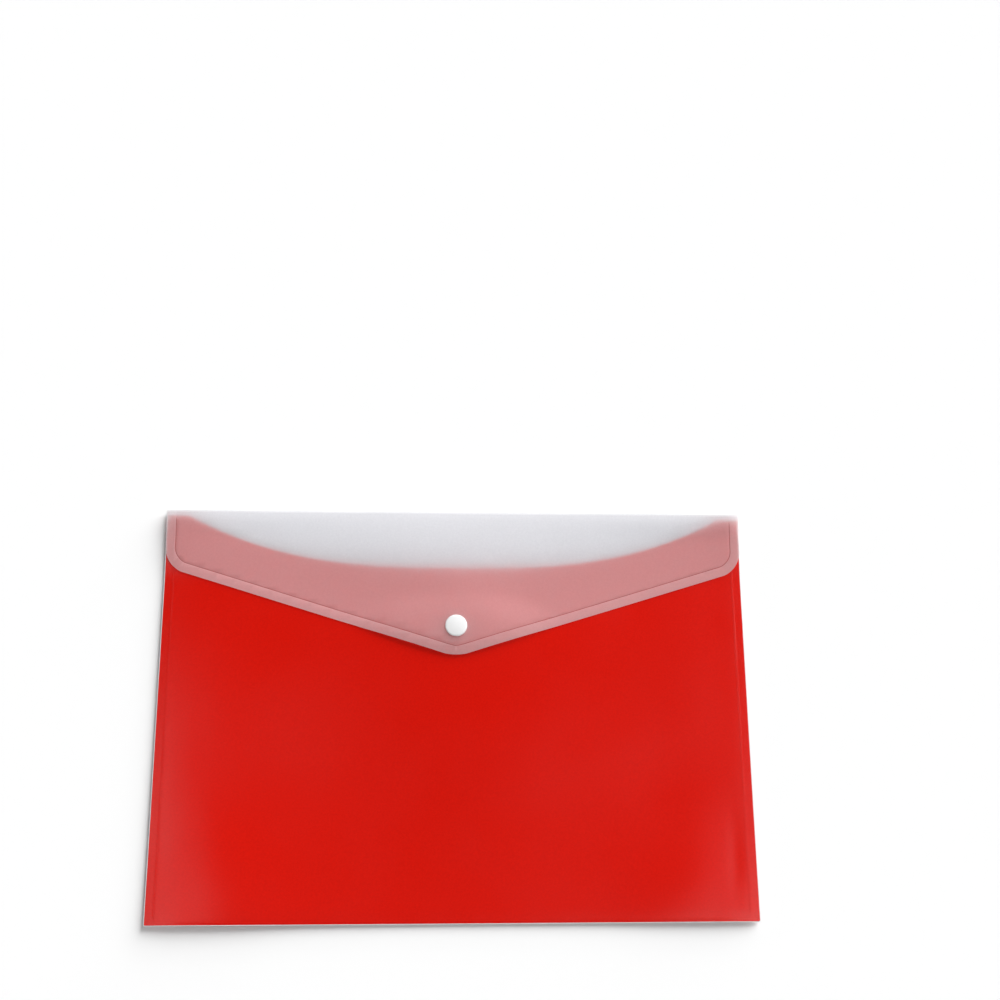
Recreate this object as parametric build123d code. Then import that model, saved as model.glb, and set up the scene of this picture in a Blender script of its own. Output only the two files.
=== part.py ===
from build123d import *
from math import cos, radians, sin, sqrt
import os

# Document wallet of plastic film, lying closed on its back panel.
# X runs along the width, +Y points to the fold at the top edge, +Z is up.
# The origin is on the table under the middle of the wallet. Millimetres.

# Films
wallet_width = 330.0
wallet_height = 230.0
film_thick = 0.3
corner_radius = 2.0
front_inset = 0.4

# Welds that join the two films at the sides and at the bottom
weld_thick = 0.15
side_weld_inset = 5.1
side_weld_width = 3.0
bottom_weld_inset = 1.5
bottom_weld_width = 1.6
weld_margin = 0.2

# Rise of the front film from its welds to a gently crowned middle
pocket_depth = 4.4
crown_rise = 1.15
side_ramp = 9.7
bottom_ramp = 13.5

# Mouth of the pocket, measured down from the fold and in from the side edge
mouth_shoulder_drop = 6.2
mouth_shoulder_length = 12.4
mouth_drop = 34.0
mouth_end_slope = 27.0

# Crease and flap, measured down from the fold
hinge_clear = 0.05
fold_clear = 0.2
flap_side = 34.8
flap_drop = 86.2
flap_corner_radius = 15.0
flap_tip_radius = 24.0
score_inset = 5.5
score_width = 0.5
score_depth = 0.1
score_start = 5.0

# Press stud
snap_above_tip = 17.8
cap_diameter = 12.4
cap_rim = 0.5
cap_height = 1.2
socket_diameter = 10.4
socket_height = 1.8
socket_web = 0.5
stud_diameter = 10.4
stud_base = 0.5
boss_diameter = 4.8
boss_height = 1.0
boss_clear = 0.3
snap_gap = 0.1
back_cap_diameter = 10.4
back_cap_thick = 0.9
post_diameter = 2.6
post_clear = 0.05
post_recess = 0.1
rivet_diameter = 3.6
rivet_thick = 0.2
seat_clear = 0.03

# Length by which cutting shapes run past what they trim
overrun = 1.0

# Places that follow from the sizes above
half_width = wallet_width / 2
fold_y = wallet_height / 2
bottom_y = -wallet_height / 2
flange_z = film_thick + weld_thick
shoulder_z = film_thick + pocket_depth
crown_z = shoulder_z + crown_rise
lift_x = half_width - side_weld_inset - side_weld_width / 2 - weld_margin
shoulder_x = lift_x - side_ramp
lift_y = bottom_y + bottom_weld_inset + bottom_weld_width / 2 + weld_margin
mouth_shoulder_y = fold_y - mouth_shoulder_drop
mouth_half = half_width - mouth_shoulder_length

crease_y = fold_y - film_thick / 2
crease_low_z = film_thick / 2
crease_high_z = shoulder_z + film_thick + fold_clear + film_thick / 2
film_end_y = crease_y - film_thick / 2 - hinge_clear

tip_y = fold_y - flap_drop
snap_y = tip_y + snap_above_tip
stud_z = crown_z + film_thick
socket_z = stud_z + stud_base + snap_gap
flap_low_z = socket_z + socket_height + seat_clear
flap_high_z = flap_low_z + film_thick

# The flap's film springs up from the crease in one arc and is level at the press stud.
flap_run = crease_y - snap_y
flap_rise = flap_low_z + film_thick / 2 - crease_high_z
bend_radius = (flap_run**2 + flap_rise**2) / (2 * flap_rise)
bend_z = crease_high_z + flap_rise - bend_radius


def upright(outline, low, high):
    """Solid that stands on a flat outline between two heights."""
    return extrude(Pos(0, 0, low) * outline, amount=high - low)


def disc(diameter, low, high):
    """Round plate about the press stud's line."""
    return upright(Pos(0, snap_y) * Circle(diameter / 2), low, high)


def below_front_film(lift):
    """Everything under the front film, with its underside raised by lift."""
    low = flange_z + lift
    high = shoulder_z + lift
    top = crown_z + lift
    left = Polyline((-half_width, 0), (-half_width, low), (-lift_x, low), (-shoulder_x, high))
    crown = ThreePointArc((-shoulder_x, high), (0, top), (shoulder_x, high))
    right = Polyline((shoulder_x, high), (lift_x, low), (half_width, low), (half_width, 0))
    base = Line((half_width, 0), (-half_width, 0))
    across = Plane.XZ * make_face([left, crown, right, base])

    roof = top + overrun
    ramp_slope = (shoulder_z - flange_z) / bottom_ramp
    roof_y = lift_y + (roof - low) / ramp_slope
    along = Plane.YZ * make_face(
        Polyline(
            (bottom_y, 0),
            (bottom_y, low),
            (lift_y, low),
            (roof_y, roof),
            (fold_y, roof),
            (fold_y, 0),
            close=True,
        )
    )
    ridge = extrude(across, amount=wallet_height / 2, both=True)
    return ridge & extrude(along, amount=half_width, both=True)


def back_outline():
    """Flat outline of the back panel, up to the crease."""
    length = film_end_y - bottom_y
    sheet = Pos(0, bottom_y + length / 2) * Rectangle(wallet_width, length)
    return fillet(sheet.vertices().group_by(Axis.Y)[0], corner_radius)


def front_outline():
    """Flat outline of the front panel, with the arched cut at the mouth."""
    run, fall = cos(radians(mouth_end_slope)), sin(radians(mouth_end_slope))
    mouth = Spline(
        (mouth_half, mouth_shoulder_y),
        (0, fold_y - mouth_drop),
        (-mouth_half, mouth_shoulder_y),
        tangents=[(-run, -fall), (-run, fall)],
    )
    edge_x, edge_y = half_width - front_inset, bottom_y + front_inset
    rest = Polyline(
        (-mouth_half, mouth_shoulder_y),
        (-edge_x, mouth_shoulder_y),
        (-edge_x, edge_y),
        (edge_x, edge_y),
        (edge_x, mouth_shoulder_y),
        (mouth_half, mouth_shoulder_y),
    )
    sheet = make_face([mouth, rest])
    return fillet(sheet.vertices().group_by(Axis.Y)[0], corner_radius)


def flap_outline(top_y):
    """Flat outline of the flap, from a straight top to its blunt point."""
    sheet = make_face(
        Polyline(
            (-half_width, top_y),
            (half_width, top_y),
            (half_width, fold_y - flap_side),
            (0, tip_y),
            (-half_width, fold_y - flap_side),
            close=True,
        )
    )
    sheet = fillet(sheet.vertices().group_by(Axis.Y)[1], flap_corner_radius)
    return fillet(sheet.vertices().sort_by(Axis.Y)[0], flap_tip_radius)


def bent_sheet(low_radius, high_radius):
    """Sheet on the flap's arc between two radii, larger than the flap all round."""
    near_y, far_y = tip_y - overrun, fold_y + overrun

    def arc(radius):
        def on_arc(y):
            return (y, bend_z + sqrt(radius**2 - (y - snap_y) ** 2))

        return ThreePointArc(on_arc(near_y), on_arc(snap_y), on_arc(far_y))

    low, high = arc(low_radius), arc(high_radius)
    section = make_face([low, high, Line(low @ 0, high @ 0), Line(low @ 1, high @ 1)])
    return extrude(Plane.YZ * section, amount=half_width + overrun, both=True)


def make_back_panel():
    return upright(back_outline(), 0, film_thick)


def make_front_panel():
    film = below_front_film(film_thick) - below_front_film(0)
    film &= upright(front_outline(), 0, stud_z + overrun)
    return film - disc(post_diameter + 2 * post_clear, 0, stud_z + overrun)


def make_side_weld(side):
    low_y = bottom_y + corner_radius
    length = mouth_shoulder_y - weld_margin - low_y
    strip = Rectangle(side_weld_width, length)
    place = Pos(side * (half_width - side_weld_inset), low_y + length / 2)
    return upright(place * strip, film_thick, flange_z)


def make_bottom_weld():
    strip = Rectangle(2 * lift_x - 2 * weld_margin, bottom_weld_width)
    return upright(Pos(0, bottom_y + bottom_weld_inset) * strip, film_thick, flange_z)


def make_crease_band():
    """Upright strip with a round bead on each crease line."""
    height = crease_high_z - crease_low_z
    section = Rot(0, 0, 90) * SlotCenterToCenter(height, film_thick)
    place = Pos(crease_y, crease_low_z + height / 2)
    return extrude(Plane.YZ * (place * section), amount=half_width, both=True)


def make_flap():
    low, high = bend_radius - film_thick / 2, bend_radius + film_thick / 2
    film = bent_sheet(low, high) & upright(flap_outline(film_end_y), 0, flap_high_z + overrun)
    longer_outline = flap_outline(fold_y + score_inset)
    outer = offset(longer_outline, -(score_inset - score_width / 2))
    inner = offset(longer_outline, -(score_inset + score_width / 2))
    clear_top = Pos(0, fold_y) * Rectangle(wallet_width, 2 * score_start)
    score_cut = upright(outer - inner - clear_top, 0, flap_high_z + overrun)
    film -= bent_sheet(high - score_depth, high + overrun) & score_cut
    return film - disc(post_diameter + 2 * post_clear, 0, flap_high_z + overrun)


def make_snap_cap():
    """Domed cap on the flap, with its rivet through the film and the socket's web."""
    radius = cap_diameter / 2
    dome = TangentArc((0, cap_height), (radius, cap_rim), tangent=(1, 0))
    sides = Polyline((radius, cap_rim), (radius, 0), (0, 0), (0, cap_height))
    cap = revolve(Plane.XZ * make_face([dome, sides]), axis=Axis.Z)
    rivet_top = socket_z + socket_height - socket_web
    post = disc(post_diameter, rivet_top - rivet_thick, flap_high_z)
    rivet = disc(rivet_diameter, rivet_top - rivet_thick, rivet_top)
    return Pos(0, snap_y, flap_high_z) * cap + post + rivet


def make_snap_socket():
    top = socket_z + socket_height
    ring = disc(socket_diameter, socket_z, top)
    cavity = disc(boss_diameter + 2 * boss_clear, socket_z, top - socket_web)
    return ring - cavity - disc(post_diameter + 2 * post_clear, socket_z, top)


def make_snap_stud():
    base_top = stud_z + stud_base
    stud = disc(stud_diameter, stud_z, base_top) + disc(boss_diameter, base_top, base_top + boss_height)
    return stud - disc(post_diameter + 2 * post_clear, stud_z, base_top + boss_height)


def make_snap_back_cap():
    """Flat cap inside the pocket, with its post through the film and the stud."""
    top = crown_z - seat_clear
    plate = disc(back_cap_diameter, top - back_cap_thick, top)
    return plate + disc(post_diameter, top, stud_z + stud_base + boss_height - post_recess)


pieces = {
    "back_panel": make_back_panel(),
    "front_panel": make_front_panel(),
    "left_weld": make_side_weld(-1),
    "right_weld": make_side_weld(1),
    "bottom_weld": make_bottom_weld(),
    "crease_band": make_crease_band(),
    "flap": make_flap(),
    "snap_cap": make_snap_cap(),
    "snap_socket": make_snap_socket(),
    "snap_stud": make_snap_stud(),
    "snap_back_cap": make_snap_back_cap(),
}

os.makedirs("parts", exist_ok=True)
for node, solid in pieces.items():
    export_step(solid, f"parts/{node}.step")
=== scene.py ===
from math import atan2, cos, exp, hypot, pi, radians, sin, sqrt, tan

import bmesh
import bpy
from mathutils import Matrix, Vector


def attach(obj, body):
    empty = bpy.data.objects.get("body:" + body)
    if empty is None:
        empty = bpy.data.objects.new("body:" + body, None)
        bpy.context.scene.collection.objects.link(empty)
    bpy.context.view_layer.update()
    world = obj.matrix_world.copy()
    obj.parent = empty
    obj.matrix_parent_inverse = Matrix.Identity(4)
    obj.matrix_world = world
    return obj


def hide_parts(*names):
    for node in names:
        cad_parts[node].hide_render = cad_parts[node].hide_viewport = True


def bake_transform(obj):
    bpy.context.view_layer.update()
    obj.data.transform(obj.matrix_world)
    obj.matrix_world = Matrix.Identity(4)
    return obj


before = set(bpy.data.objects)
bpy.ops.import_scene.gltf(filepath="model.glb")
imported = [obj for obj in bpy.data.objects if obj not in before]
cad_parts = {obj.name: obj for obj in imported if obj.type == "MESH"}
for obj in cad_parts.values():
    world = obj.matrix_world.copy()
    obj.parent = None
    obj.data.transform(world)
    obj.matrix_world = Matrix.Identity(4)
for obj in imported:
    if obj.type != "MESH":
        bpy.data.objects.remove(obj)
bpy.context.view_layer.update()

# A closed document wallet of plastic film. Lengths are in metres, through mm.
mm = 0.001

# Sizes shared with the part's solids
half_width = 165.0 * mm
fold_y = 115.0 * mm
bottom_y = -115.0 * mm
film = 0.3 * mm
front_inset = 0.4 * mm
flange_z = 0.45 * mm
pocket_rise = 4.25 * mm
crown_rise = 1.15 * mm
crown_half = 148.5 * mm
mouth_half = 152.6 * mm
mouth_centre_y = 81.0 * mm
crease_y = fold_y - film / 2
crease_low_z = film / 2
crease_high_z = 5.35 * mm
flap_corner_radius = 15.0 * mm
flap_tip_radius = 24.0 * mm
score_inset = 5.5 * mm
score_depth = 0.1 * mm
score_start_y = 110.0 * mm
snap_y = 46.6 * mm
stud_z = 6.15 * mm
socket_z = 6.75 * mm
flap_low_z = 8.58 * mm
flap_high_z = flap_low_z + film
side_weld_inset = 5.1 * mm
bottom_weld_inset = 1.5 * mm

# Sizes taken from the photograph, a little off the solids
corner_radius = 0.7 * mm
mouth_shoulder_y = 111.2 * mm
mouth_end_slope = radians(29)
flap_side_y = 81.3 * mm
flap_tip_y = 29.1 * mm
score_half = 0.22 * mm

# The flap's arc, level at the press stud
flap_mid_z = flap_low_z + film / 2
flap_run = crease_y - snap_y
flap_rise = flap_mid_z - crease_high_z
bend_radius = (flap_run**2 + flap_rise**2) / (2 * flap_rise)

# Round folds at the two crease lines, with a cut a little before each and a reach over which the film
# turns from one body to the next. The band between them has more cuts, and the seam of the two pieces.
fold_radius = 0.6 * mm
fold_steps = 10
fold_lead = 1.5 * mm
band_step = 1.2 * mm
seam_z = 1.35 * mm

# Cut edges and creases of the frosted film: how wide they show, and how white from 0 to 1
edge_band = 0.12 * mm
edge_whiteness = 0.12
back_edge_whiteness = 1.0
# The flap's border between its edge and the pressed line is made a little whiter: painted light, for the
# extra light the border shows.
border_painted_light = 0.06
low_crease_half = 0.8 * mm
high_crease_half = 1.4 * mm

# Fine bead on the back film's rim, which fades out towards the fold
rim_bead = 0.45 * mm
rim_bead_fade = 4.0 * mm

# Pressed line inside the flap's edge: its fade towards the fold, and how round its tip stays
score_fade = 2.0 * mm
score_tip_share = 0.3

# How both films lie along the rim: a shallow bowl, a lift off the table and a droop at the edge
bowl_left = 2.6 * mm
bowl_right = 0.5 * mm
bowl_low = 0.8 * mm
lift_left = 0.1 * mm
lift_right = 1.4 * mm
lift_low = 0.47 * mm
lift_reach = 72.0 * mm
droop_left = 1.58 * mm
droop_right = 0.91 * mm
droop_share_high = 0.76
droop_side_reach = 20.6 * mm
droop_low = 0.18 * mm
droop_low_reach = 7.6 * mm

# Rise of both films at the upper corners, and the back film's way down to its crease
corner_rise = 1.6 * mm
corner_reach = 60.0 * mm
corner_from = 72.0 * mm
corner_run = 32.0 * mm
fold_return = 16.0 * mm

# Strip along the welds in which the back film follows the front one
weld_reach = 7.0 * mm
weld_fade = 22.0 * mm

# How the front film rises: a short ramp inside the rim, mostly low down, and a slow one to the middle
ramp_from = 11.8 * mm
ramp_side = 14.2 * mm
ramp_share_high = 0.1
ramp_fade_from = -30.5 * mm
ramp_fade = 93.0 * mm
slow_side = 164.0 * mm
slow_side_round = 0.363
slow_low = 156.0 * mm
slow_low_round = 0.267

# Slow waves of the front film: height, radians per metre across and up the page, start in radians
film_wave_rows = (
    (0.16 * mm, 41, 17, 0.4),
    (0.13 * mm, -23, 38, 2.1),
    (0.10 * mm, 66, -29, 4.0),
    (0.08 * mm, 18, 74, 1.2),
)

# A broad swell of the front film, its dip towards the mouth, and the calm round the press stud
swell_height = 0.35 * mm
swell_x = 78.0 * mm
swell_y = -18.0 * mm
swell_radius = 34.0 * mm
lip_depth = 2.1 * mm
lip_half = 118.0 * mm
lip_reach = 38.0 * mm
calm_radius = 30.0 * mm

# Soft puffs of the front film in its low corners, and a faint dent beside each of them
puff_left = 1.0 * mm
puff_right = 1.05 * mm
puff_from_side = 43.0 * mm
puff_from_low = 11.0 * mm
puff_radius = 31.0 * mm
dent_depth = 0.14 * mm
dent_left = 7.5 * mm
dent_right = 11.0 * mm
dent_half = 4.0 * mm
dent_y = -80.0 * mm
dent_length = 18.0 * mm

# Line above which the front film is stretched to the arch of its mouth
mouth_stretch_y = 50.0 * mm

# How the flap lies: on the front film, except at the fold, at the press stud and over the mouth
flap_gap = 0.2 * mm
fold_drape = 16.0 * mm
stud_hold = 6.5 * mm
stud_drape = 17.0 * mm
stud_stretch = 2.6
arch_half = 95.0 * mm
edge_drape = 60.0 * mm

# Slanted ticks of the side welds
tick_pitch = 1.45 * mm
tick_length = 2.5 * mm
tick_width = 0.5 * mm
tick_height = 0.08 * mm
tick_rounding = 0.036 * mm
tick_slant = radians(52)
tick_from_bottom = 4.0 * mm
tick_from_mouth = 1.5 * mm

# Bead of the bottom weld, a little sunk into the film
bead_end_x = 158.2 * mm
bead_half = 0.6 * mm
bead_height = 0.09 * mm
bead_sink = 0.05 * mm
bead_thick = 0.1 * mm
bead_taper = 8.0 * mm
bead_ripple = 0.15
bead_ripple_length = 0.9 * mm

# Press stud: what its pieces share
snap_radius = 5.2 * mm
snap_face_radius = 4.7 * mm
post_radius = 1.3 * mm
post_hole_radius = 1.35 * mm
post_recess = 0.1 * mm
seat_clear = 0.03 * mm

# Cap on the flap, and its rivet
cap_radius = 6.2 * mm
cap_height = 1.2 * mm
cap_rim_high = 0.42 * mm
cap_rim_low = 0.1 * mm
cap_foot_radius = 6.05 * mm
cap_rounding = 0.1 * mm
dome_radius = 5.8 * mm
dome_drop = 0.45 * mm
rivet_radius = 1.8 * mm
rivet_thick = 0.2 * mm

# Socket ring under the flap
socket_height = 1.8 * mm
socket_web = 0.5 * mm
socket_side_z = 0.7 * mm
socket_lead_radius = 3.3 * mm
socket_lead_z = 0.5 * mm
socket_bore_radius = 2.7 * mm
socket_rounding = 0.08 * mm

# Stud on the front film, with a necked boss
stud_base = 0.5 * mm
stud_side_z = 0.32 * mm
stud_rounding = 0.06 * mm
boss_radius = 2.4 * mm
boss_height = 1.0 * mm
boss_neck_radius = 2.2 * mm
boss_neck_z = 0.3 * mm
boss_bulge_z = 0.65 * mm
boss_tip_radius = 2.1 * mm

# Flat plate inside the pocket
plate_thick = 0.9 * mm
plate_side = 0.5 * mm
plate_face_radius = 4.6 * mm
plate_rounding = 0.08 * mm

# How finely shapes are made, from which bend a ring counts as sharp, and how close points are merged
corner_segments = 6
flap_corner_segments = 24
flap_tip_segments = 16
tick_segments = 2
ring_segments = 3
bead_strips = 6
spin_steps = 72
sharp_ring = radians(40)
merge_distance = 1e-7

# Floor just under the wallet, and the strength of the light from all round by height in the sky
floor_half = 8.0
floor_drop = 0.2 * mm
sky_low = 0.05
sky_low_strength = 1.0
sky_high = 0.5
sky_high_strength = 0.08

# Camera at the photograph's place, from a fit to the wallet's corners
camera_place = Vector((-27.26 * mm, -141.01 * mm, 834.79 * mm))
camera_turn = radians(-11.365)
camera_elevation = radians(72.07)
camera_roll = radians(11.387)
camera_lens = 54
camera_sensor = 36

# Curves


def ease(t):
    """Smooth step from 0 to 1."""
    t = min(1.0, max(0.0, t))
    return t * t * (3 - 2 * t)


def hump(t):
    """Round hump of height 1 about 0."""
    return exp(-(t**2))


def fade(distance, reach):
    """Parabola from 1 at the edge down to 0 at its reach."""
    return max(0.0, 1 - distance / reach) ** 2


def slope_up(distance, reach, roundness):
    """Rise from 0 at the edge to 1 at its reach, even at first and rounded at the top."""
    left = min(1.0, max(0.0, 1 - distance / reach))
    return 1 - (hypot(left, roundness) - roundness) / (hypot(1, roundness) - roundness)


# Shape of the films


def from_rim(x, y):
    """Distances from the front film's side edge and from its bottom edge."""
    return half_width - front_inset - abs(x), y - bottom_y - front_inset


def low_share(y):
    """Share of the low part of the wallet in its shape, from 0 up at the flap to 1 at the bottom."""
    return ease((ramp_fade_from - y) / ramp_fade)


def mouth_edge(x):
    """How far up the page the mouth's arched edge is."""
    share = min(1.0, abs(x) / mouth_half)
    rise = mouth_shoulder_y - mouth_centre_y
    end_rise = tan(mouth_end_slope) * mouth_half
    return mouth_centre_y + (3 * rise - end_rise) * share**2 + (end_rise - 2 * rise) * share**3


def rim_rise(x, y):
    """Rise of both films along the rim."""
    side, low = from_rim(x, y)
    on_left = x < 0
    bowl = (bowl_left if on_left else bowl_right) * (x / half_width) ** 2
    bowl += bowl_low * (min(0.0, y) / bottom_y) ** 2
    lift = hypot(
        (lift_left if on_left else lift_right) * fade(side, lift_reach),
        lift_low * fade(low, lift_reach),
    )
    droop = (droop_left if on_left else droop_right) * fade(side, droop_side_reach)
    droop *= droop_share_high + (1 - droop_share_high) * low_share(y)
    droop += droop_low * fade(low, droop_low_reach)
    corner = corner_rise * fade(side, corner_reach) * ease((y - corner_from) / corner_run)
    return bowl + lift - droop + corner


def film_waves(x, y):
    """Shallow unevenness of the front film."""
    waves = sum(height * cos(kx * x + ky * y + start) for height, kx, ky, start in film_wave_rows)
    return waves + swell_height * hump((x - swell_x) / swell_radius) * hump((y - swell_y) / swell_radius)


def lip_dip(x, y):
    """Dip of the front film towards the middle of its mouth."""
    along = max(0.0, 1 - (x / lip_half) ** 2)
    return lip_depth * along * ease(1 - (mouth_edge(x) - y) / lip_reach)


def low_corner(x, y):
    """Puff of the front film in a low corner, less the dent between it and the rim."""
    side, low = from_rim(x, y)
    puff = puff_left if x < 0 else puff_right
    puff *= hump((side - puff_from_side) / puff_radius) * hump((low - puff_from_low) / puff_radius)
    dent_at = dent_left if x < 0 else dent_right
    dent = dent_depth * hump((side - dent_at) / dent_half) * hump((y - dent_y) / dent_length)
    return puff - dent


def pillow(x, y):
    """Rise of the front film over the back film, from the welded rim to the middle."""
    side, low = from_rim(x, y)
    share = ramp_share_high + (1 - ramp_share_high) * low_share(y)
    side_rise = share * (1 - hump(max(0.0, side - ramp_from) / ramp_side))
    side_rise += (1 - share) * slope_up(side, slow_side, slow_side_round)
    low_rise = slope_up(low, slow_low, slow_low_round)
    crown = crown_rise * max(0.0, 1 - (x / crown_half) ** 2)
    off_stud = 1 - hump(x / calm_radius) * hump((y - snap_y) / calm_radius)
    slack = (film_waves(x, y) - lip_dip(x, y)) * off_stud
    return (pocket_rise + crown + slack) * side_rise * low_rise + low_corner(x, y)


def front_height(x, y):
    """Height of the middle of the front film."""
    return flange_z + film / 2 + rim_rise(x, y) + pillow(x, y)


def back_height(x, y):
    """Height of the middle of the back film."""
    side, low = from_rim(x, y)
    off_weld = ease((side - weld_reach) / weld_fade) * ease((low - weld_reach) / weld_fade)
    rise = rim_rise(x, y) + low_corner(x, y) * (1 - off_weld)
    return crease_low_z + rise * ease((crease_y - y) / fold_return)


def flap_height(x, y):
    """Height of the middle of the flap's film, between its arc and the front film that it lies on."""
    arc = flap_mid_z - bend_radius + sqrt(bend_radius**2 - (y - snap_y) ** 2)
    lying = front_height(x, y) + film + flap_gap
    from_edge = y - flap_tip_y - abs(x) * (flap_side_y - flap_tip_y) / half_width
    off_fold = ease((crease_y - y) / fold_drape)
    off_stud = ease((hypot(x / stud_stretch, y - snap_y) - stud_hold) / stud_drape)
    off_arch = 1 - hump(x / arch_half) * ease(from_edge / edge_drape)
    return arc + (lying - arc) * off_fold * off_stud * off_arch


# Mesh helpers


def flat_sheet(corners):
    """One flat face through a few corners, given in order."""
    bm = bmesh.new()
    face = bm.faces.new([bm.verts.new((x, y, 0)) for x, y in corners])
    face.normal_update()
    if face.normal.z < 0:
        face.normal_flip()
    return bm


def flat_rectangle(half, low, high):
    """Flat face as wide as two halves, between two lines across the page."""
    return flat_sheet([(-half, low), (half, low), (half, high), (-half, high)])


def round_off(bm, chosen, offset, segments, affect):
    """Rounds the chosen corners of a flat sheet, or the chosen edges of a closed shape."""
    bmesh.ops.bevel(
        bm,
        geom=chosen,
        offset=offset,
        offset_type="OFFSET",
        affect=affect,
        segments=segments,
        profile=0.5,
        material=-1,
        clamp_overlap=True,
    )


def cut(bm, place, normal, drop_beyond=False):
    """Cuts all faces along a plane."""
    bmesh.ops.bisect_plane(
        bm,
        geom=bm.verts[:] + bm.edges[:] + bm.faces[:],
        dist=merge_distance,
        plane_co=place,
        plane_no=normal,
        clear_outer=drop_beyond,
    )


def cut_grid(bm, x_lines, y_lines):
    """Cuts a flat sheet along lines in both directions."""
    for x in x_lines:
        cut(bm, (x, 0, 0), (1, 0, 0))
    for y in y_lines:
        cut(bm, (0, y, 0), (0, 1, 0))


def inset_sheet(bm, width):
    """Draws a line inside the edge of a flat sheet and gives the points on it."""
    inner = max(bm.faces, key=lambda face: face.calc_area())
    bmesh.ops.inset_region(bm, faces=[inner], use_boundary=True, use_even_offset=True, thickness=width)
    return inner.verts


def steps(start, end, count):
    """Even places between two ends, without the ends."""
    return [start + (end - start) * i / count for i in range(1, count)]


def both_sides(places):
    """Places given in millimetres from the middle, on both sides of it."""
    return [side * place * mm for place in places for side in (-1, 1)]


def spun(profile):
    """Closed round shape from its half profile of (radius, height) points, about the stud's line."""
    bm = bmesh.new()
    points = [bm.verts.new((radius, snap_y, height)) for radius, height in profile]
    edges = [bm.edges.new(pair) for pair in zip(points, points[1:])]
    bmesh.ops.spin(
        bm,
        geom=points + edges,
        cent=(0, snap_y, 0),
        axis=(0, 0, 1),
        angle=2 * pi,
        steps=spin_steps,
        use_merge=True,
    )
    bmesh.ops.remove_doubles(bm, verts=bm.verts[:], dist=merge_distance)
    bmesh.ops.recalc_face_normals(bm, faces=bm.faces[:])
    return bm


def finish_piece(bm, name, materials):
    """Turns a bmesh into a named, smoothly shaded object with its materials."""
    mesh = bpy.data.meshes.new(name)
    bm.to_mesh(mesh)
    bm.free()
    for face in mesh.polygons:
        face.use_smooth = True
    for material in materials:
        mesh.materials.append(material)
    piece = bpy.data.objects.new(name, mesh)
    bpy.context.scene.collection.objects.link(piece)
    return piece


def thicken(piece, rim_material=0):
    """Gives a film its thickness, evenly to both sides, with a material of its own on the cut edge."""
    wall = piece.modifiers.new("film", "SOLIDIFY")
    wall.thickness = film
    wall.offset = 0
    wall.material_offset_rim = rim_material
    wall.use_even_offset = True
    wall.use_quality_normals = True


# Materials


class Nodes:
    """Short way to add and join the nodes of one material."""

    def __init__(self, name):
        self.material = bpy.data.materials.new(name)
        self.material.use_nodes = True
        self.tree = self.material.node_tree
        self.tree.nodes.clear()

    def add(self, kind, **settings):
        """New node with its settings."""
        node = self.tree.nodes.new(kind)
        for key, value in settings.items():
            setattr(node, key, value)
        return node

    def join(self, start, end):
        """Link from an output to an input."""
        self.tree.links.new(start, end)

    def feed(self, socket, value):
        """Gives a socket a plain value, or joins another node's output to it."""
        if isinstance(value, bpy.types.NodeSocket):
            self.join(value, socket)
        else:
            socket.default_value = (*value, 1) if isinstance(value, tuple) else value

    def noise(self, scale, detail, roughness=0.5):
        """Noise over the object's own coordinates, scale in waves per metre."""
        place = self.add("ShaderNodeTexCoord")
        noise = self.add("ShaderNodeTexNoise")
        noise.inputs["Scale"].default_value = scale
        noise.inputs["Detail"].default_value = detail
        noise.inputs["Roughness"].default_value = roughness
        self.join(place.outputs["Object"], noise.inputs["Vector"])
        return noise.outputs["Fac"]

    def attribute(self, name):
        """Value that is kept on the points of the mesh."""
        return self.add("ShaderNodeAttribute", attribute_name=name).outputs["Fac"]

    def spread(self, source, low, high, from_low=0.3, from_high=0.7):
        """Maps a value onto a new range, from the range that most noise lies in if none is given."""
        node = self.add("ShaderNodeMapRange")
        node.inputs["From Min"].default_value = from_low
        node.inputs["From Max"].default_value = from_high
        self.feed(node.inputs["To Min"], low)
        self.feed(node.inputs["To Max"], high)
        self.join(source, node.inputs["Value"])
        return node.outputs["Result"]

    def blend_colours(self, factor, first, second):
        """Colour that goes from first to second."""
        node = self.add("ShaderNodeMix", data_type="RGBA")
        self.join(factor, node.inputs["Factor"])
        # Sockets of every kind of value share their names on this node; these are the colours
        self.feed(node.inputs[6], first)
        self.feed(node.inputs[7], second)
        return node.outputs[2]

    def grain(self, height, strength, distance, under=None):
        """Bump from a height, over another bump if one is given."""
        node = self.add("ShaderNodeBump")
        node.inputs["Strength"].default_value = strength
        node.inputs["Distance"].default_value = distance
        self.join(height, node.inputs["Height"])
        if under:
            self.join(under, node.inputs["Normal"])
        return node.outputs["Normal"]

    def mix(self, first, second, share):
        """Shader that takes a share of the second one."""
        node = self.add("ShaderNodeMixShader")
        self.feed(node.inputs[0], share)
        self.join(first.outputs[0], node.inputs[1])
        self.join(second.outputs[0], node.inputs[2])
        return node

    def finish(self, shader):
        """The material, with this shader on its surface."""
        output = self.add("ShaderNodeOutputMaterial")
        self.join(shader.outputs[0], output.inputs["Surface"])
        return self.material


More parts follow.
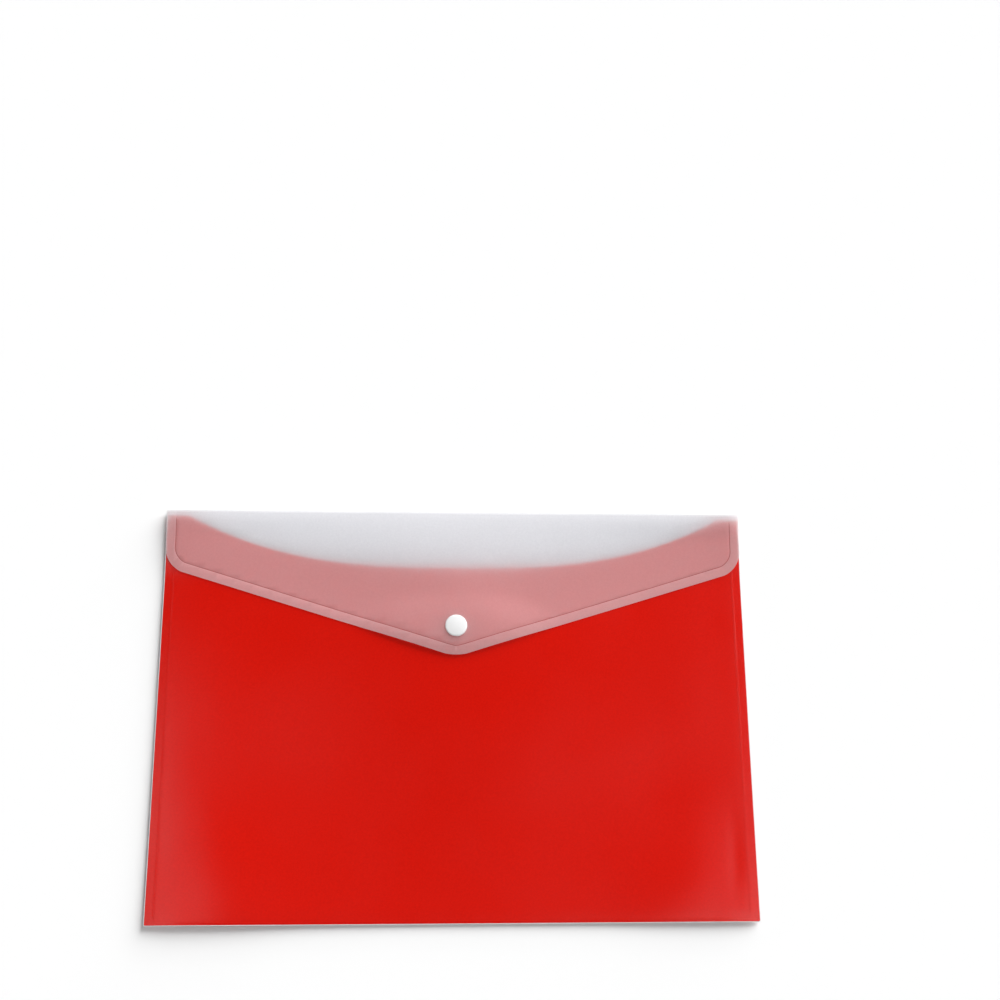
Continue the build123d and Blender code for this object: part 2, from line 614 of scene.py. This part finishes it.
def make_red_film(name, deep, pale):
    """Dyed film with a fine sand grain, which lets a little light through."""
    n = Nodes(name)
    speckle = n.noise(scale=900, detail=3, roughness=0.6)
    colour = n.blend_colours(n.spread(speckle, low=0, high=1), deep, pale)
    sand = n.noise(scale=2300, detail=3, roughness=0.6)
    pebble = n.noise(scale=760, detail=2)
    normal = n.grain(sand, strength=0.24, distance=0.06 * mm)
    normal = n.grain(pebble, strength=0.22, distance=0.05 * mm, under=normal)
    haze = n.spread(n.noise(scale=26, detail=3), low=0.175, high=0.205)
    surface = n.add("ShaderNodeBsdfPrincipled")
    surface.inputs["Specular IOR Level"].default_value = 0.32
    n.join(colour, surface.inputs["Base Color"])
    n.join(haze, surface.inputs["Roughness"])
    n.join(normal, surface.inputs["Normal"])
    through = n.add("ShaderNodeBsdfTranslucent")
    n.join(colour, through.inputs["Color"])
    n.join(normal, through.inputs["Normal"])
    return n.finish(n.mix(surface, through, share=0.15))


def make_frosted_film(deep, pale, pressed_shade_tint):
    """Undyed film: hazy all over, white where it is creased or cut, clearer where it is pressed and
    tinted darker there, partly as painted shade of the pressed groove.
    """
    n = Nodes("frosted_film")
    pressed = n.attribute("pressed")
    creased = n.attribute("creased")
    speckle = n.noise(scale=900, detail=3, roughness=0.6)
    plain = n.blend_colours(n.spread(speckle, low=0, high=1), deep, pale)
    # Along the pressed line the colour goes to a dark red tint: partly the red seen through the clearer
    # film, partly painted shade of the groove.
    colour = n.blend_colours(pressed, plain, pressed_shade_tint)
    sand = n.noise(scale=2600, detail=3, roughness=0.65)
    haze = n.spread(n.noise(scale=19, detail=3), low=0.40, high=0.50)
    surface = n.add("ShaderNodeBsdfPrincipled")
    surface.inputs["Specular IOR Level"].default_value = 0.4
    n.join(colour, surface.inputs["Base Color"])
    n.join(haze, surface.inputs["Roughness"])
    n.join(n.grain(sand, strength=0.14, distance=0.05 * mm), surface.inputs["Normal"])
    through = n.add("ShaderNodeBsdfTranslucent")
    n.join(colour, through.inputs["Color"])
    clear = n.add("ShaderNodeBsdfTransparent")
    through_share = n.spread(creased, low=0.78, high=0.15, from_low=0, from_high=1)
    uncreased_share = n.spread(pressed, low=0.36, high=0.72, from_low=0, from_high=1)
    clear_share = n.spread(creased, low=uncreased_share, high=0.03, from_low=0, from_high=1)
    return n.finish(n.mix(n.mix(surface, through, through_share), clear, clear_share))


def make_white_stud(deep, pale):
    """Moulded white plastic."""
    n = Nodes("white_stud")
    fine = n.noise(scale=900, detail=2)
    broad = n.noise(scale=160, detail=2)
    surface = n.add("ShaderNodeBsdfPrincipled")
    n.join(n.blend_colours(n.spread(broad, low=0, high=1), deep, pale), surface.inputs["Base Color"])
    n.join(n.spread(fine, low=0.28, high=0.36), surface.inputs["Roughness"])
    n.join(n.grain(fine, strength=0.06, distance=0.03 * mm), surface.inputs["Normal"])
    return n.finish(surface)


red_film = make_red_film("red_film", deep=(0.71, 0.0054, 0.0006), pale=(0.78, 0.0070, 0.0010))
fused_film = make_red_film("fused_film", deep=(0.70, 0.0070, 0.0020), pale=(0.76, 0.0090, 0.0030))
# Pale pink on the front film's cut edge, much paler than its dye: a painted highlight of the edge
# catching light.
cut_edge_painted_highlight = make_red_film("cut_edge_painted_highlight", deep=(0.84, 0.26, 0.22), pale=(0.88, 0.32, 0.28))
# The dark pressed tint is partly painted shade of the pressed groove.
frosted_film = make_frosted_film(
    deep=(0.92, 0.92, 0.935), pale=(0.98, 0.98, 0.99), pressed_shade_tint=(0.42, 0.15, 0.16)
)
white_stud = make_white_stud(deep=(0.85, 0.85, 0.85), pale=(0.88, 0.88, 0.88))

# Films. The lines they are cut along, in millimetres, lie closer together where the film bends.


def round_low_corners(bm):
    """Rounds the two lower corners of a film."""
    round_off(bm, [v for v in bm.verts if v.co.y < 0], corner_radius, corner_segments, "VERTICES")


def make_front_film():
    """Red front film with its pillow shape and arched mouth."""
    bm = flat_rectangle(half_width - front_inset, bottom_y + front_inset, mouth_shoulder_y)
    round_low_corners(bm)
    inset_sheet(bm, edge_band)
    side_lines = [163.2, 162, 160.9, 159.8, 158.9, 158.2, 157.2, 156.2, 155.2, 154.2, 153.3, 152.6]
    side_lines += [151.5, 150, 148.5, 146.5, 144.5, 142, 139.5, 137, 134, 131, 128, 124.5, 121, 117.5]
    side_lines += [114 - 4 * i for i in range(28)] + [2.0]
    page_lines = [-113.8, -113.1, -112.5, -111.6, -110.6, -109.5, -108.3, -107, -105.5, -104, -102, -100]
    page_lines += [-97.5, -95, -92.5] + [-90 + 4 * i for i in range(49)] + [106, 108, 109.6, 110.6]
    cut_grid(bm, both_sides(side_lines), [y * mm for y in page_lines])
    for v in bm.verts:
        x, y = v.co.x, v.co.y
        if y > mouth_stretch_y:
            share = (y - mouth_stretch_y) / (mouth_shoulder_y - mouth_stretch_y)
            y = mouth_stretch_y + share * (mouth_edge(x) - mouth_stretch_y)
        v.co = (x, y, front_height(x, y))
    # The cut edge gets the pale painted-highlight material.
    piece = finish_piece(bm, "front_film", [red_film, cut_edge_painted_highlight])
    thicken(piece, rim_material=1)
    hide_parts("front_panel")
    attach(piece, "pocket")


def add_marks(bm, whiteness):
    """Point values for the pressed line and for whitened creases, which a cut edge has too."""
    pressed, creased = bm.verts.layers.float.new("pressed"), bm.verts.layers.float.new("creased")
    for v in bm.verts:
        v[creased] = whiteness
    return pressed, creased


def make_back_film():
    """Frosted back film that turns up at the lower crease line."""
    flat_end = crease_y - fold_radius
    arc_end = flat_end + fold_radius * pi / 2
    arc_middle = (flat_end + arc_end) / 2
    top = arc_end + seam_z - crease_low_z - fold_radius
    bm = flat_rectangle(half_width, bottom_y, top + 2 * front_inset)
    round_low_corners(bm)
    creased = add_marks(bm, back_edge_whiteness)[1]
    for v in inset_sheet(bm, edge_band):
        v[creased] = back_edge_whiteness
    for v in inset_sheet(bm, front_inset - edge_band):
        v[creased] = 0
    cut(bm, (0, top, 0), (0, 1, 0), drop_beyond=True)
    side_lines = [162.8, 161.5, 160, 158.4, 156.6, 154.8, 152, 148, 144, 139, 134]
    side_lines += [128 - 12 * i for i in range(11)]
    page_lines = [-113.2, -112, -110.6, -109, -107, -105, -102, -98, -93, -88]
    page_lines += [-80 + 12 * i for i in range(16)]
    fold_lines = [flat_end - fold_lead, flat_end] + steps(flat_end, arc_end, fold_steps) + [arc_end]
    cut_grid(bm, both_sides(side_lines), [y * mm for y in page_lines] + fold_lines)
    for v in bm.verts:
        x, s = v.co.x, v.co.y
        if s <= flat_end:
            on_rim = v[creased] / back_edge_whiteness
            v.co.z = back_height(x, s) + rim_bead * on_rim * ease((flat_end - s) / rim_bead_fade)
        elif s <= arc_end:
            turn = (s - flat_end) / fold_radius
            v.co.y = flat_end + fold_radius * sin(turn)
            v.co.z = crease_low_z + fold_radius * (1 - cos(turn))
        else:
            v.co.y = crease_y
            v.co.z = crease_low_z + fold_radius + s - arc_end
        v[creased] = max(v[creased], 1 - abs(s - arc_middle) / low_crease_half)
    piece = finish_piece(bm, "back_film", [frosted_film])
    thicken(piece)
    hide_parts("back_panel")
    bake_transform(piece)


def sharpen_tip(points, inset, fall):
    """Draws the round tip of a line inside the flap's edge out towards where its two sides meet."""
    for v in points:
        if abs(v.co.x) < flap_tip_radius * sin(fall):
            straight_y = flap_tip_y + inset / cos(fall) + abs(v.co.x) * tan(fall)
            v.co.y = straight_y + score_tip_share * (v.co.y - straight_y)


def make_flap_film():
    """Frosted flap with its pressed line, and the band down to the seam at the lower crease."""
    slope = atan2(flap_run, sqrt(bend_radius**2 - flap_run**2))
    turn = pi / 2 - slope
    setback = fold_radius * tan(turn / 2)
    arc_start = crease_y - setback * cos(slope)
    arc_end = arc_start + fold_radius * turn
    arc_middle = (arc_start + arc_end) / 2
    band_top_z = crease_high_z - setback
    top = arc_end + band_top_z - seam_z

    past_top = top + 2 * score_inset
    bm = flat_sheet(
        [
            (-half_width, past_top),
            (-half_width, flap_side_y),
            (0, flap_tip_y),
            (half_width, flap_side_y),
            (half_width, past_top),
        ]
    )
    fall = atan2(flap_side_y - flap_tip_y, half_width)
    side_corners = [v for v in bm.verts if abs(v.co.y - flap_side_y) < mm]
    side_setback = flap_corner_radius * tan((pi / 2 - fall) / 2)
    round_off(bm, side_corners, side_setback, flap_corner_segments, "VERTICES")
    tip = [v for v in bm.verts if abs(v.co.x) < mm]
    round_off(bm, tip, flap_tip_radius * tan(fall), flap_tip_segments, "VERTICES")

    pressed, creased = add_marks(bm, edge_whiteness)
    border = score_inset - score_half - edge_band
    # The border band is whitened as painted light.
    lines = (
        (edge_band, 0, border_painted_light),
        (border, 0, border_painted_light),
        (score_half, 1, 0),
        (score_half, 0, 0),
    )
    for width, press, white in lines:
        points = inset_sheet(bm, width)
        for v in points:
            v[pressed] = press
            v[creased] = white
        if width == border:
            sharpen_tip(points, edge_band + border, fall)
    cut(bm, (0, top, 0), (0, 1, 0), drop_beyond=True)
    side_lines = [163, 160.5, 157.5, 154, 150, 145.5, 141, 136, 131, 126]
    side_lines += [121 - 5.5 * i for i in range(22)] + [2]
    page_lines = [31.5 + 3.5 * i for i in range(23)]
    fold_lines = [score_start_y - score_fade, score_start_y, arc_start - fold_lead, arc_start]
    fold_lines += steps(arc_start, arc_end, fold_steps) + [arc_end + band_step * i for i in range(3)]
    cut_grid(bm, both_sides(side_lines), [y * mm for y in page_lines] + fold_lines)
    for v in bm.verts:
        x, s = v.co.x, v.co.y
        v[pressed] *= ease((score_start_y - s) / score_fade)
        v[creased] = max(v[creased], 1 - abs(s - arc_middle) / high_crease_half)
        if s <= arc_start:
            v.co.z = flap_height(x, s) - score_depth * v[pressed]
        elif s <= arc_end:
            angle = turn - (s - arc_start) / fold_radius
            v.co.y = crease_y - fold_radius + fold_radius * cos(angle)
            v.co.z = band_top_z + fold_radius * sin(angle)
        else:
            v.co.y = crease_y
            v.co.z = band_top_z - (s - arc_end)
    piece = finish_piece(bm, "flap_film", [frosted_film])
    thicken(piece)
    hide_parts("flap", "crease_band")
    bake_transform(piece)


# Welds


def make_side_weld(side, name, node):
    """Row of slanted ticks that the sealing bar leaves in the rim."""
    bm = bmesh.new()
    x = side * (half_width - side_weld_inset)
    low, high = bottom_y + tick_from_bottom, mouth_shoulder_y - tick_from_mouth
    size = Matrix.Diagonal((tick_length, tick_width, tick_height, 1))
    slant = Matrix.Rotation(side * tick_slant, 4, "Z")
    for i in range(int((high - low) / tick_pitch)):
        place = Matrix.Translation((x, low + (i + 0.5) * tick_pitch, 0))
        bmesh.ops.create_cube(bm, size=1, matrix=place @ slant @ size)
    upper = [e for e in bm.edges if all(v.co.z > 0 for v in e.verts)]
    round_off(bm, upper, tick_rounding, tick_segments, "EDGES")
    for v in bm.verts:
        v.co.z += front_height(v.co.x, v.co.y) + film / 2
    piece = finish_piece(bm, name, [fused_film])
    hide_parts(node)
    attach(piece, "pocket")


def make_bottom_weld():
    """Fine bead of melted film along the bottom edge."""
    middle_y = bottom_y + bottom_weld_inset
    low, high = middle_y - bead_half, middle_y + bead_half
    bm = flat_rectangle(bead_end_x, low, high)
    side_lines = [2 + 4 * i for i in range(39)]
    cut_grid(bm, both_sides(side_lines), steps(low, high, bead_strips))
    for v in bm.verts:
        x, y = v.co.x, v.co.y
        bead = bead_height * (1 - ((y - middle_y) / bead_half) ** 2)
        bead *= ease((bead_end_x - abs(x)) / bead_taper) * (1 + bead_ripple * cos(x / bead_ripple_length))
        v.co.z = front_height(x, y) + film / 2 - bead_sink + bead
    bmesh.ops.solidify(bm, geom=bm.faces[:], thickness=bead_thick)
    bmesh.ops.recalc_face_normals(bm, faces=bm.faces[:])
    piece = finish_piece(bm, "bottom_weld_bead", [fused_film])
    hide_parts("bottom_weld")
    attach(piece, "pocket")


# Press stud


def make_stud_piece(name, profile, rounding):
    """Round white piece from its half profile, with its sharp rings rounded."""
    bm = spun(profile)
    bm.normal_update()
    sharp = [e for e in bm.edges if len(e.link_faces) == 2 and e.calc_face_angle() > sharp_ring]
    round_off(bm, sharp, rounding, ring_segments, "EDGES")
    return finish_piece(bm, name, [white_stud])


def make_snap_cap():
    """Domed cap on the flap, with its rivet through the film and the socket."""
    rings = [radius * mm for radius in (0, 1.5, 3, 4.2, 5.1)] + [dome_radius]
    profile = [(r, flap_high_z + cap_height - dome_drop * (r / dome_radius) ** 2) for r in rings]
    rivet_z = socket_z + socket_height - socket_web
    profile += [
        (cap_radius, flap_high_z + cap_rim_high),
        (cap_radius, flap_high_z + cap_rim_low),
        (cap_foot_radius, flap_high_z),
        (post_radius, flap_high_z),
        (post_radius, rivet_z),
        (rivet_radius, rivet_z),
        (rivet_radius, rivet_z - rivet_thick),
        (0, rivet_z - rivet_thick),
    ]
    piece = make_stud_piece("snap_cap_dome", profile, cap_rounding)
    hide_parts("snap_cap")
    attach(piece, "flap")


def make_snap_socket():
    """Ring under the flap that grips the stud."""
    top = socket_z + socket_height
    profile = [
        (post_hole_radius, top),
        (snap_radius, top),
        (snap_radius, socket_z + socket_side_z),
        (snap_face_radius, socket_z),
        (socket_lead_radius, socket_z),
        (socket_bore_radius, socket_z + socket_lead_z),
        (socket_bore_radius, top - socket_web),
        (post_hole_radius, top - socket_web),
        (post_hole_radius, top),
    ]
    piece = make_stud_piece("snap_socket_ring", profile, socket_rounding)
    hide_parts("snap_socket")
    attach(piece, "flap")


def make_snap_stud():
    """Stud on the front film, with the boss that the socket grips."""
    base_top = stud_z + stud_base
    profile = [
        (post_hole_radius, stud_z),
        (snap_radius, stud_z),
        (snap_radius, stud_z + stud_side_z),
        (snap_face_radius, base_top),
        (boss_radius, base_top),
        (boss_neck_radius, base_top + boss_neck_z),
        (boss_radius, base_top + boss_bulge_z),
        (boss_tip_radius, base_top + boss_height),
        (post_hole_radius, base_top + boss_height),
        (post_hole_radius, stud_z),
    ]
    piece = make_stud_piece("snap_stud_post", profile, stud_rounding)
    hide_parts("snap_stud")
    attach(piece, "pocket")


def make_snap_back_plate():
    """Flat plate inside the pocket, with its post through the film and the stud."""
    top = stud_z - film - seat_clear
    post_top = stud_z + stud_base + boss_height - post_recess
    profile = [
        (0, top - plate_thick),
        (plate_face_radius, top - plate_thick),
        (snap_radius, top - plate_side),
        (snap_radius, top),
        (post_radius, top),
        (post_radius, post_top),
        (0, post_top),
    ]
    piece = make_stud_piece("snap_back_plate", profile, plate_rounding)
    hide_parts("snap_back_cap")
    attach(piece, "pocket")


# Floor, light and camera


def make_floor():
    """Plain pale floor."""
    n = Nodes("pale_floor")
    surface = n.add("ShaderNodeBsdfPrincipled")
    surface.inputs["Base Color"].default_value = (0.97, 0.97, 0.97, 1)
    surface.inputs["Roughness"].default_value = 0.9
    surface.inputs["Specular IOR Level"].default_value = 0
    bm = bmesh.new()
    bmesh.ops.create_grid(bm, x_segments=1, y_segments=1, size=floor_half)
    bmesh.ops.translate(bm, verts=bm.verts[:], vec=(0, 0, -floor_drop))
    mesh = bpy.data.meshes.new("floor")
    bm.to_mesh(mesh)
    bm.free()
    mesh.materials.append(n.finish(surface))
    floor = bpy.data.objects.new("floor", mesh)
    bpy.context.scene.collection.objects.link(floor)


def make_soft_light(name, towards, strength, width, mirrored=True):
    """Far soft light from a direction, some degrees wide; gloss shows it only if it is mirrored."""
    light = bpy.data.lights.new(name, "SUN")
    light.energy = strength
    light.angle = radians(width)
    lamp = bpy.data.objects.new(name, light)
    lamp.rotation_mode = "QUATERNION"
    lamp.rotation_quaternion = Vector(towards).to_track_quat("Z", "Y")
    lamp.visible_glossy = mirrored
    bpy.context.scene.collection.objects.link(lamp)


def make_sky():
    """Even light from all round, weaker straight overhead."""
    world = bpy.data.worlds.new("studio")
    world.use_nodes = True
    tree = world.node_tree
    tree.nodes.clear()
    place = tree.nodes.new("ShaderNodeTexCoord")
    parts = tree.nodes.new("ShaderNodeSeparateXYZ")
    level = tree.nodes.new("ShaderNodeMapRange")
    level.inputs["From Min"].default_value = sky_low
    level.inputs["From Max"].default_value = sky_high
    level.inputs["To Min"].default_value = sky_low_strength
    level.inputs["To Max"].default_value = sky_high_strength
    background = tree.nodes.new("ShaderNodeBackground")
    output = tree.nodes.new("ShaderNodeOutputWorld")
    tree.links.new(place.outputs["Generated"], parts.inputs[0])
    tree.links.new(parts.outputs["Z"], level.inputs["Value"])
    tree.links.new(level.outputs["Result"], background.inputs["Strength"])
    tree.links.new(background.outputs[0], output.inputs[0])
    bpy.context.scene.world = world


def make_camera():
    """Camera that looks down on the wallet, turned and rolled a little."""
    flat = cos(camera_elevation)
    back = Vector((sin(camera_turn) * flat, -cos(camera_turn) * flat, sin(camera_elevation)))
    level = Vector((cos(camera_turn), sin(camera_turn), 0))
    upright = back.cross(level)
    right = cos(camera_roll) * level + sin(camera_roll) * upright
    up = cos(camera_roll) * upright - sin(camera_roll) * level
    data = bpy.data.cameras.new("camera")
    data.lens = camera_lens
    data.sensor_width = camera_sensor
    camera = bpy.data.objects.new("camera", data)
    facing = Matrix((right, up, back)).transposed().to_4x4()
    camera.matrix_world = Matrix.Translation(camera_place) @ facing
    bpy.context.scene.collection.objects.link(camera)
    bpy.context.scene.camera = camera


make_front_film()
make_back_film()
make_flap_film()
make_side_weld(-1, "left_weld_ticks", "left_weld")
make_side_weld(1, "right_weld_ticks", "right_weld")
make_bottom_weld()
make_snap_cap()
make_snap_socket()
make_snap_stud()
make_snap_back_plate()

make_floor()
make_sky()
make_soft_light("key_light", towards=(0.571, 0.719, 0.396), strength=4.2, width=50, mirrored=False)
make_soft_light("high_light", towards=(0.383, 0.482, 0.788), strength=0.54, width=20)
make_soft_light("left_light", towards=(-0.320, -0.048, 0.946), strength=0.29, width=24)
make_soft_light("right_light", towards=(0.300, -0.160, 0.940), strength=0.19, width=24)
make_soft_light("right_rim_light", towards=(0.440, -0.038, 0.897), strength=0.32, width=24)
make_camera()
bpy.context.scene.view_settings.view_transform = "Standard"
